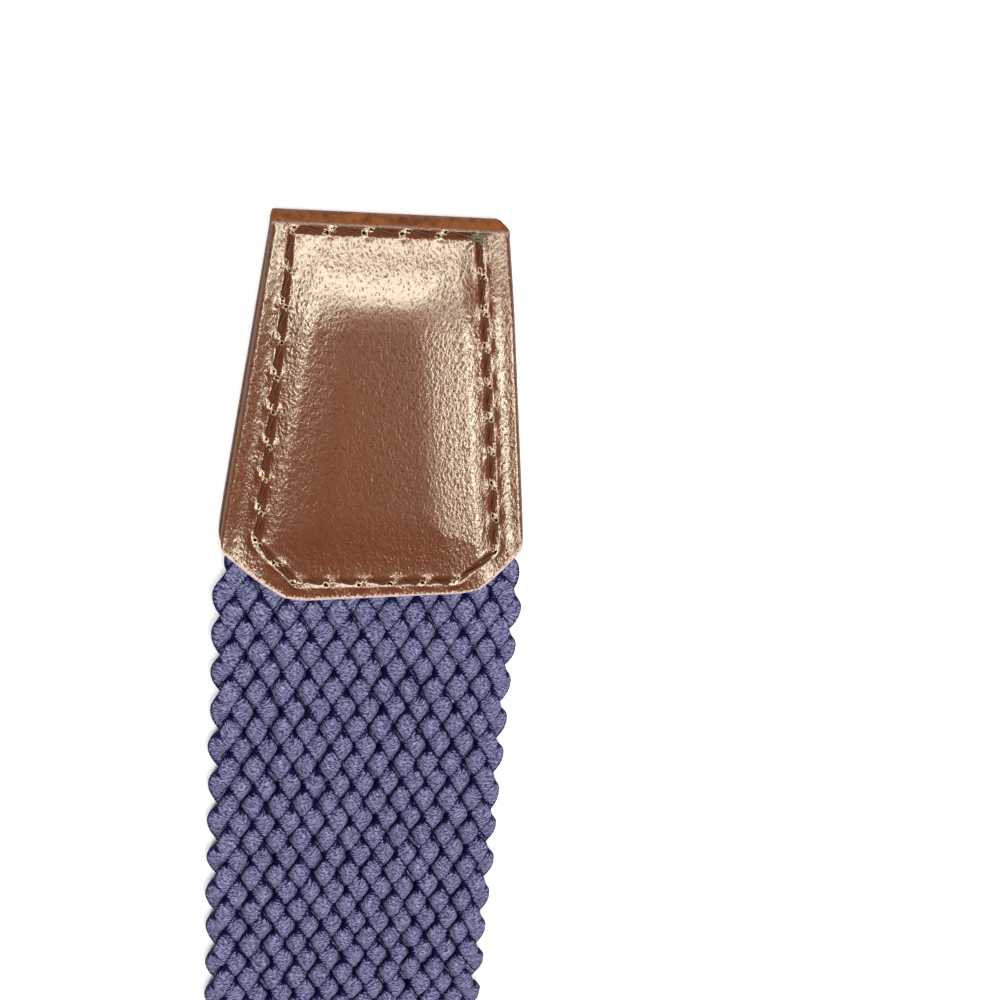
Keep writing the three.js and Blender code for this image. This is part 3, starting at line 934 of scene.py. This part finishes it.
BACK_SHARE = 0.3  # how much of the seam's sinking shows on the back of the upper layer
UNDER_SHARE = 0.5  # and on the underside of the tab
FOLD_ROWS = 18


def seam_legs(tab, stitch):
    """The straight legs of the closed seam: start, end, stitches before it and stitches in it."""
    corners = [np.array(corner) for corner in tab.seam]
    legs, before = [], 0
    for start, end in zip(corners, corners[1:] + corners[:1]):
        count = max(1, round(math.hypot(*(end - start)) / stitch))
        legs.append((start, end, before, count))
        before += count
    return legs


def seam_junctions(tab, stitch):
    """Places where two stitches meet, evenly spaced along each leg of the seam."""
    spots = [
        start + (end - start) * np.arange(count)[:, None] / count
        for start, end, _, count in seam_legs(tab, stitch)
    ]
    return np.concatenate(spots)


def seam_place(tab, s, y, stitch):
    """The way along the seam in stitches, the way in from it, and the true length of a stitch."""
    nearest = np.full(np.broadcast(s, y).shape, np.inf)
    run, inward, true_stitch = (np.zeros_like(nearest) for _ in range(3))
    for start, end, before, count in seam_legs(tab, stitch):
        leg = end - start
        length = math.hypot(*leg)
        share = np.clip(((s - start[0]) * leg[0] + (y - start[1]) * leg[1]) / length**2, 0, 1)
        off_s = s - start[0] - share * leg[0]
        off_y = y - start[1] - share * leg[1]
        away = np.hypot(off_s, off_y)
        closer = away < nearest
        nearest = np.where(closer, away, nearest)
        run = np.where(closer, before + share * count, run)
        inward = np.where(closer, away * np.sign(leg[0] * off_y - leg[1] * off_s), inward)
        true_stitch = np.where(closer, length / count, true_stitch)
    return run, inward, true_stitch


def sewn_relief(run, inward, stitch):
    """Height that the seam adds to the leather: a groove, pulled down by each stitch, and lips."""
    from_junction = (run - np.round(run)) * stitch
    near = np.exp(-((from_junction / LIP_LENGTH) ** 2))
    bridge = np.exp(-(((from_junction - inward * BRIDGE_SLANT) / BRIDGE_WIDTH) ** 2))
    groove = GROOVE_DEPTH * np.exp(-((inward / GROOVE_WIDTH) ** 2)) * (1 - bridge)
    pull = PULL_DEPTH * np.exp(-((inward / PULL_WIDTH) ** 2)) * (1 - bridge)
    lip = LIP_RISE * np.exp(-(((np.abs(inward) - LIP_ASIDE) / LIP_WIDTH) ** 2)) * near
    return lip - groove - pull


def cut_inset(tab, s, y):
    """Distance in from the nearest side of a tab, and from its open end or cut corners."""
    to_side = tab.side_half(s) - np.abs(y)
    to_cut = np.broadcast_to(s, np.broadcast(s, y).shape)
    for sign, corner in tab.corners.items():
        rise = tab.width / 2 - corner["end_half"]
        slope = math.hypot(rise, corner["cut"])
        away = (corner["cut"] * (corner["end_half"] - sign * y) + rise * s) / slope
        to_cut = np.minimum(to_cut, away)
    return to_side, to_cut


def leather_face(tab, s, y, stitch):
    """Heights of the face and the back of the upper layer, and the place on the seam."""
    under = WALL + 2 * FIT_GAP + tab.core(s, tab.side_half(s) - np.abs(y))
    run, inward, true_stitch = seam_place(tab, s, y, stitch)
    sewn = sewn_relief(run, inward, true_stitch)
    inset = np.clip(np.minimum(*cut_inset(tab, s, y)), 0, EDGE_ROUND) / EDGE_ROUND
    over_edge = EDGE_ROUND * (1 - np.sqrt(1 - (1 - inset) ** 2))
    panel = PANEL_RISE * smoothstep(inward, 0, PANEL_SLOPE)
    back = under + BACK_SHARE * np.minimum(0, sewn)
    return under + WALL + panel - over_edge + sewn, back, run, inward, true_stitch


def sheet_faces(present):
    """Quads of a sheet with a front and a back, walled where a present square has no neighbour."""
    rows, columns = present.shape
    width = columns + 1
    count = (rows + 1) * width
    i, j = np.nonzero(present)
    first = i * width + j
    corners = [first, first + width, first + width + 1, first + 1]
    front = np.stack(corners, 1)
    padded = np.pad(present, 1)
    walls = []
    for edge, (down, right) in enumerate(((0, -1), (1, 0), (0, 1), (-1, 0))):
        open_side = ~padded[i + 1 + down, j + 1 + right]
        p = corners[edge][open_side]
        q = corners[(edge + 1) % 4][open_side]
        walls.append(np.stack([q, p, p + count, q + count], 1))
    return front, front[:, ::-1] + count, np.concatenate(walls)


def spread(tab, s, shares):
    """Places across a tab at s, out to the leather's edge on both sides."""
    return np.where(shares > 0, tab.outline_half(s, 1), tab.outline_half(s, -1)) * shares


def open_end(tab, s, y):
    """Places along a tab whose open end is cut a little askew, with its corners rounded off."""
    end_half = np.where(y > 0, tab.corners[1]["end_half"], tab.corners[-1]["end_half"])
    rounded = END_ROUND * np.clip((np.abs(y) - end_half + CORNER_SOFTEN) / CORNER_SOFTEN, 0, 1) ** 2
    return s + (rounded - tab.askew * y) * np.clip(1 - s / END_REACH, 0, 1) ** 2


def folded_sheet(tab, stitch, spacing, slot_half=0.0, slot_reach=0.0):
    """Points, faces and attributes of a tab's leather: over the band, round the fold and back."""
    shares = np.linspace(-1, 1, 2 * round(tab.width / 2 / spacing) + 1)
    upper = np.linspace(0, tab.fold_start, round(tab.fold_start / spacing) + 1)
    fold = np.linspace(0, math.pi, FOLD_ROWS)[1:-1]
    lower = np.linspace(tab.fold_start, 0, round(tab.fold_start / spacing / 2) + 1)
    fronts, backs, cuts, seams, dulls = [], [], [], [], []

    for s in upper:
        y = spread(tab, s, shares)
        level = np.full_like(y, s)
        face, back, run, inward, true_stitch = leather_face(tab, level, y, stitch)
        fronts.append(tab.world(open_end(tab, s, y), y, face))
        backs.append(tab.world(open_end(tab, s, y), y, back))
        to_side, to_cut = cut_inset(tab, level, y)
        cuts.append(to_cut)
        dulls.append(SIDE_DULLNESS * smoothstep(-to_side, -DULL_EDGE, 0))
        seams.append(np.stack([run, inward / MM, true_stitch / MM], -1))
    corner = np.where(shares > 0, tab.corners[1]["fold"], tab.corners[-1]["fold"])
    for angle in fold:
        y = spread(tab, tab.fold_start, shares) - corner * shares * (1 - abs(math.cos(angle)))
        for radius, rows in ((tab.radius, fronts), (tab.radius - WALL, backs)):
            s = tab.fold_start + radius * math.sin(angle)
            rows.append(tab.world(s, y, tab.radius + radius * math.cos(angle)))
        run, inward, true_stitch = seam_place(tab, tab.fold_start + tab.radius * angle, y, stitch)
        cuts.append(np.full_like(y, tab.length))
        dulls.append(np.full_like(y, smoothstep(angle, 0, DULL_BEND)))
        seams.append(np.stack([run, inward / MM, true_stitch / MM], -1))
    for s in lower:
        y = spread(tab, s, shares) + tab.slip * smoothstep(tab.fold_start - s, 0, tab.fold_start)
        run, inward, true_stitch = seam_place(tab, s, y, stitch)
        sunk = -UNDER_SHARE * np.minimum(0, sewn_relief(run, inward, true_stitch))
        fronts.append(tab.world(open_end(tab, s, y), y, sunk))
        backs.append(tab.world(open_end(tab, s, y), y, WALL))
        to_side, to_cut = cut_inset(tab, np.full_like(y, s), y)
        cuts.append(to_cut)
        dulls.append(SIDE_DULLNESS * smoothstep(-to_side, -DULL_EDGE, 0))
        seams.append(np.stack([run, inward / MM, true_stitch / MM], -1))
    present = np.ones((len(fronts) - 1, len(shares) - 1), bool)
    if slot_half:
        place = np.array(fronts)
        middle = (place[:-1, :-1] + place[1:, 1:]) / 2
        far = tab.side * (middle[..., 0] - tab.edge_x) > tab.fold_start - slot_reach
        present = ~(far & (np.abs(middle[..., 1]) < slot_half))
    points = np.concatenate([np.array(fronts).reshape(-1, 3), np.array(backs).reshape(-1, 3)])
    front, back, walls = sheet_faces(present)
    used = np.unique(np.concatenate([front, back, walls]))
    renumber = np.zeros(len(points), int)
    renumber[used] = np.arange(len(used))
    from_cut = np.array(cuts).ravel() / MM
    dulled = np.array(dulls).ravel()
    seam = np.array(seams).reshape(-1, 3)
    hidden_side = (0, 99, 0)  # far from any seam, so that the inside shows no slots
    attributes = {
        "from_cut": np.concatenate([from_cut, from_cut])[used],
        "dulled": np.concatenate([dulled, dulled])[used],
        "seam_place": np.concatenate([seam, seam + hidden_side])[used],
    }
    return points[used], [renumber[np.concatenate([front, back, walls])]], attributes


TIP_SPACING, BUCKLE_SPACING = 0.25 * MM, 0.35 * MM  # between the points of each tab's mesh
PRONG_DIAMETER = 3 * MM
PRONG_CLEARANCE = 0.6 * MM
SLOT_HALF = PRONG_DIAMETER / 2 + PRONG_CLEARANCE
SLOT_REACH = 4 * MM


class BELT_OT_leather(bpy.types.Operator):
    """Fold the leather tabs over both ends of the band"""

    bl_idname = "belt.leather"
    bl_label = "Fold leather tabs"

    def execute(self, context):
        material = glazed_leather(context.scene.belt_leather)
        stitch = context.scene.belt_seam.stitch
        tip = folded_sheet(TIP, stitch, TIP_SPACING)
        slotted = folded_sheet(BUCKLE_TAB, stitch, BUCKLE_SPACING, SLOT_HALF, SLOT_REACH)
        for name, node, (points, faces, attributes) in (
            ("tip_tab", "tip_leather", tip),
            ("buckle_tab", "buckle_leather", slotted),
        ):
            piece = add_mesh(name, points, faces, [material], attributes)
            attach(piece, "root")
            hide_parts(node)
        return {"FINISHED"}


# Seam

STITCH_POINTS = 15
STITCH_RISE = 0.13 * MM  # how far the middle of a stitch lies over the leather
STITCH_DIP = 0.62 * MM  # how far its ends dip
STITCH_TWISTS = 0.6
UNDER_RISE = 0.2 * MM  # the same on the underside
UNDER_DIP = 0.3 * MM
PLY_RADIUS = 0.3  # as a share of the thread's width
PLY_ASIDE = 0.22
PLY_SIDES = 7
KNOT_LOOPS = 9
KNOT_REACH = (0.4, 1.0)  # millimetres, as the next two
KNOT_SPREAD = (0.25, 0.45)
KNOT_BACK = 0.2
KNOT_LEAN = 0.9  # radians
KNOT_FLATNESS = 0.5  # of its loops, along the belt
KNOT_RISE = 0.1 * MM
KNOT_HEIGHT = 0.25 * MM
KNOT_FIBRE = 0.3  # width of a loose fibre as a share of the thread's width


def stitch_path(tab, start, end, stitch, lower):
    """The middle line of one stitch between two junctions, which dips into the leather at its ends."""
    leg = (end - start) / np.linalg.norm(end - start)
    inward = np.array((-leg[1], leg[0]))
    first = start + leg * SLOT_AHEAD + inward * SLOT_ASIDE
    last = end - leg * SLOT_AHEAD - inward * SLOT_ASIDE
    share = np.linspace(0, 1, STITCH_POINTS)
    s, y = (first + (last - first) * share[:, None]).T
    dip = np.abs(2 * share - 1)
    if lower:
        return tab.world(s, y, UNDER_RISE + UNDER_DIP * dip**4)
    ground = leather_face(tab, s, y, stitch)[0]
    level = np.interp(share, (0.0, 0.25, 0.5, 0.75, 1.0), ground[[3, 3, 7, 11, 11]])
    return tab.world(s, y, level + STITCH_RISE - STITCH_DIP * dip**5)


def plied(path, width, turns):
    """The two plies of a twisted thread along a path."""
    _, across, up = frames(path)
    angle = 2 * math.pi * turns * np.linspace(0, 1, len(path))
    swirl = np.cos(angle)[:, None] * across + np.sin(angle)[:, None] * up
    radius = np.full(len(path), width * PLY_RADIUS)
    section = oval(radius, radius, PLY_SIDES)
    return [sweep(path + side * width * PLY_ASIDE * swirl, section) for side in (-1, 1)]


def crosses_slot(start, end):
    """Whether a stitch of the buckle tab would lie over the slot for the prong."""
    near_fold = min(start[0], end[0]) > BUCKLE_TAB.fold_start - SLOT_REACH
    low, high = sorted((start[1], end[1]))
    return near_fold and low < SLOT_HALF and high > -SLOT_HALF


def knot_ends(tab, settings, rng):
    """Short loops and loose fibres where the seam begins and ends."""
    s, y = tab.seam[0]
    tubes = []
    high = leather_face(tab, np.array([s]), np.array([y]), settings.stitch)[0][0] + KNOT_RISE
    for _ in range(KNOT_LOOPS):
        turn = rng.uniform(0, 2 * math.pi)
        share = np.linspace(0, math.pi, STITCH_POINTS)
        reach = rng.uniform(*KNOT_REACH) * MM
        out = -reach * np.cos(share)
        path = tab.world(
            s - KNOT_BACK * MM + rng.normal(0, KNOT_SPREAD[0]) * MM + out * math.cos(turn) * KNOT_FLATNESS,
            y + rng.normal(0, KNOT_SPREAD[1]) * MM + out * math.cos(turn + KNOT_LEAN),
            high + KNOT_HEIGHT * np.sin(share),
        )
        tubes += plied(path, settings.thread_width * KNOT_FIBRE, 1.0)
    return tubes


class BELT_OT_seams(bpy.types.Operator):
    """Sew both leather tabs with twisted thread"""

    bl_idname = "belt.seams"
    bl_label = "Sew seams"

    def execute(self, context):
        settings = context.scene.belt_seam
        material = twisted_thread("bonded polyester thread", settings.thread, 0.6)
        pale = twisted_thread("frayed end of polyester thread", settings.frayed, 0.05)
        rng = np.random.default_rng(7)
        for name, tab in (("tip", TIP), ("buckle", BUCKLE_TAB)):
            junctions = seam_junctions(tab, settings.stitch)
            tubes = []
            for start, end in zip(junctions, np.roll(junctions, -1, axis=0)):
                if tab is BUCKLE_TAB and crosses_slot(start, end):
                    continue
                for lower in (False, True):
                    path = stitch_path(tab, start, end, settings.stitch, lower)
                    tubes += plied(path, settings.thread_width, STITCH_TWISTS)
            loose = knot_ends(tab, settings, rng)
            for kind, some, look in (("thread", tubes, material), ("knot", loose, pale)):
                points, faces = joined_tubes(some)
                piece = add_mesh(f"{name}_{kind}", points, faces, [look])
                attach(piece, "root")
        return {"FINISHED"}


# Buckle

FRAME_INSIDE = 19 * MM  # half of the opening's width
FRAME_REACH = 26 * MM  # from the middle of the bar to the inside of the frame's end
FRAME_SECTION = 4.6 * MM
FRAME_CORNER = 8 * MM
FRAME_EDGE = 0.9 * MM  # rounding of the frame's lower edge, on which it rests
PRONG_OVERHANG = 1.5 * MM  # of the prong past the middle of the frame's end
PRONG_RINGS = 26
PRONG_CAP = np.linspace(0, 1.4, 7)[1:]  # rings of its rounded tip, as angles in radians


def buckle_matrix():
    """Where the middle of the bar is, and how the frame tips down on to the ground."""
    reach = FRAME_REACH + FRAME_SECTION - FRAME_EDGE
    low = FRAME_SECTION / 2
    tilt = math.asin(BUCKLE_TAB.radius / math.hypot(reach, low)) - math.atan2(low, reach)
    x = BUCKLE_TAB.edge_x - BUCKLE_TAB.fold_start
    middle = Matrix.Translation((x, 0, BUCKLE_TAB.radius))
    return middle @ Matrix.Rotation(math.pi, 4, "Z") @ Matrix.Rotation(tilt, 4, "Y")


def frame_path():
    """The middle line of the frame, from one heel of the bar round to the other."""
    mid = FRAME_INSIDE + FRAME_SECTION / 2
    end = FRAME_REACH + FRAME_SECTION / 2
    corner = FRAME_CORNER - FRAME_SECTION / 2
    heel = -FRAME_SECTION / 2
    arc = np.linspace(0, math.pi / 2, 14)
    first = np.stack([np.linspace(heel, end - corner, 12)[:-1], np.full(11, -mid)], -1)
    turn_a = np.stack([end - corner + corner * np.sin(arc), corner - mid - corner * np.cos(arc)], -1)
    across = np.stack([np.full(9, end), np.linspace(corner - mid, mid - corner, 11)[1:-1]], -1)
    turn_b = np.stack([end - corner + corner * np.cos(arc), mid - corner + corner * np.sin(arc)], -1)
    flat = np.concatenate([first, turn_a, across, turn_b, first[::-1] * (1, -1)])
    return np.column_stack([flat, np.zeros(len(flat))])


def turned(profile, sides=28):
    """Rings of a piece turned about Y, from its (radius, y) pairs."""
    turn = np.arange(sides) * 2 * math.pi / sides
    radius, y = np.array(profile).T
    x = radius[:, None] * np.sin(turn)
    z = radius[:, None] * np.cos(turn)
    return np.stack([x, np.broadcast_to(y[:, None], x.shape), z], -1)


def prong_tube():
    """The prong, from its collar to its rounded tip on the frame's end."""
    radius = PRONG_DIAMETER / 2
    rest = FRAME_SECTION / 2 + radius / 2
    tip = FRAME_REACH + FRAME_SECTION / 2 + PRONG_OVERHANG
    shaft = np.linspace(0, tip - radius, PRONG_RINGS)
    x = np.concatenate([shaft, tip - radius * (1 - np.sin(PRONG_CAP))])
    z = rest * smoothstep(x, 0, FRAME_REACH)
    path = np.column_stack([x, np.zeros(len(x)), z])
    size = np.interp(x, [0, FRAME_REACH, tip - radius], [1.12, 1.0, 0.94])
    size[PRONG_RINGS:] *= np.cos(PRONG_CAP)
    return sweep(path, oval(radius * size, radius * size, 20))


class BELT_OT_buckle(bpy.types.Operator):
    """Cast the buckle's frame and bend its prong round the bar"""

    bl_idname = "belt.buckle"
    bl_label = "Cast buckle"

    def execute(self, context):
        material = satin_nickel()
        path = frame_path()
        half = np.full(len(path), FRAME_SECTION / 2)
        frame_tube = sweep(path, oval(half, half, 24, 0.6))
        bar_half = FRAME_INSIDE + FRAME_SECTION / 2
        bar = turned([(BAR_DIAMETER / 2, -bar_half), (BAR_DIAMETER / 2, bar_half)])
        collar_radius = BAR_DIAMETER / 2 + COLLAR_WALL
        reach = PRONG_DIAMETER / 2
        soft = 0.4 * MM
        collar = turned(
            [
                (collar_radius - soft, -reach),
                (collar_radius - 0.3 * soft, 0.3 * soft - reach),
                (collar_radius, soft - reach),
                (collar_radius, reach - soft),
                (collar_radius - 0.3 * soft, reach - 0.3 * soft),
                (collar_radius - soft, reach),
            ]
        )
        placed = buckle_matrix()
        for name, tubes in (
            ("buckle_frame", [frame_tube]),
            ("buckle_bar", [bar]),
            ("buckle_prong", [collar, prong_tube()]),
        ):
            parts = [joined_tubes([tube]) for tube in tubes]
            points = np.concatenate([p for p, _ in parts])
            faces, first = [], 0
            for some, (quads, caps) in parts:
                faces += [quads + first, caps + first]
                first += len(some)
            piece = add_mesh(name, points, faces, [material])
            piece.data.transform(placed)
            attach(piece, "root")
            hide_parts("buckle")
        return {"FINISHED"}


# Stage

CAMERA_FROM_EDGE = Vector((71.75, 23.2, 153.9)) * MM  # from the middle of the tip tab's open edge
CAMERA_RIGHT = Vector((0.087, -0.975, 0.204))
CAMERA_UP = Vector((0.927, 0.004, -0.374))
LIGHT_DISTANCE = 2.5
LIGHT_AIM = 20 * MM  # from the tip tab's open edge to what the lights look at
LAMPS = (  # name, direction from there, size in metres and share of the key light's power
    ("tip light", (0.28, -0.02, 0.96), (1.1, 1.9), 1.0),
    ("right light", (-0.24, -0.5, 0.83), (0.6, 0.7), 0.4),
    ("left light", (-0.04, 0.34, 0.94), (0.5, 0.6), 0.34),
)
WORLD_LIGHT = 0.1


def add_light(name, aim, direction, size, power):
    """A soft light that looks at a point from a direction, with its first side along the belt."""
    data = bpy.data.lights.new(name, "AREA")
    data.shape = "RECTANGLE"
    data.size, data.size_y = size
    data.energy = power
    lamp = bpy.data.objects.new(name, data)
    back = Vector(direction).normalized()
    width = Vector((0, 1, 0)).cross(back).normalized()
    turn = Matrix((width, back.cross(width), back)).transposed().to_4x4()
    lamp.matrix_world = Matrix.Translation(aim + back * LIGHT_DISTANCE) @ turn
    bpy.context.scene.collection.objects.link(lamp)


class BELT_OT_stage(bpy.types.Operator):
    """Lay the floor, hang the lights and set the camera"""

    bl_idname = "belt.stage"
    bl_label = "Set the stage"

    def execute(self, context):
        settings = context.scene.belt_stage
        scene = context.scene
        half = settings.floor_size / 2
        corners = np.array([(-half, -half, 0), (half, -half, 0), (half, half, 0), (-half, half, 0)])
        floor = add_mesh("floor", corners, [np.array([[0, 1, 2, 3]])], [matt_card(settings.floor[:])])
        aim = Vector((TIP.edge_x + LIGHT_AIM, 0, 0))
        for name, direction, size, share in LAMPS:
            add_light(name, aim, direction, size, settings.key_power * share)
        world = bpy.data.worlds.new("studio")
        world.use_nodes = True
        sky = world.node_tree.nodes["Background"]
        sky.inputs["Color"].default_value = (1, 1, 1, 1)
        sky.inputs["Strength"].default_value = WORLD_LIGHT
        scene.world = world
        scene.view_settings.view_transform = "Standard"
        data = bpy.data.cameras.new("camera")
        data.lens = settings.lens
        data.sensor_width = 36
        data.clip_start = 0.01
        camera = bpy.data.objects.new("camera", data)
        back = CAMERA_RIGHT.cross(CAMERA_UP).normalized()
        up = back.cross(CAMERA_RIGHT).normalized()
        turn = Matrix((CAMERA_RIGHT.normalized(), up, back)).transposed().to_4x4()
        camera.matrix_world = Matrix.Translation(Vector((TIP.edge_x, 0, 0)) + CAMERA_FROM_EDGE) @ turn
        scene.collection.objects.link(camera)
        scene.camera = camera
        return {"FINISHED"}


class BELT_PT_panel(bpy.types.Panel):
    """Sizes, colours and steps of the belt"""

    bl_idname = "BELT_PT_panel"
    bl_label = "Braided belt"
    bl_space_type = "VIEW_3D"
    bl_region_type = "UI"
    bl_category = "Belt"

    def draw(self, context):
        scene = context.scene
        for settings, step in (
            (scene.belt_braid, BELT_OT_braid),
            (scene.belt_leather, BELT_OT_leather),
            (scene.belt_seam, BELT_OT_seams),
            (None, BELT_OT_buckle),
            (scene.belt_stage, BELT_OT_stage),
        ):
            column = self.layout.column()
            for name in settings.__annotations__ if settings else ():
                column.prop(settings, name)
            column.operator(step.bl_idname)


GROUPS = {
    "belt_braid": BELT_PG_braid,
    "belt_leather": BELT_PG_leather,
    "belt_seam": BELT_PG_seam,
    "belt_stage": BELT_PG_stage,
}
CLASSES = (
    *GROUPS.values(),
    BELT_OT_braid,
    BELT_OT_leather,
    BELT_OT_seams,
    BELT_OT_buckle,
    BELT_OT_stage,
    BELT_PT_panel,
)


def register():
    for each in CLASSES:
        bpy.utils.register_class(each)
    for name, group in GROUPS.items():
        setattr(bpy.types.Scene, name, PointerProperty(type=group))


def unregister():
    for name in GROUPS:
        delattr(bpy.types.Scene, name)
    for each in reversed(CLASSES):
        bpy.utils.unregister_class(each)


def main():
    register()
    bpy.ops.belt.stage()
    bpy.ops.belt.braid()
    bpy.ops.belt.leather()
    bpy.ops.belt.seams()
    bpy.ops.belt.buckle()


if __name__ == "__main__":
    main()
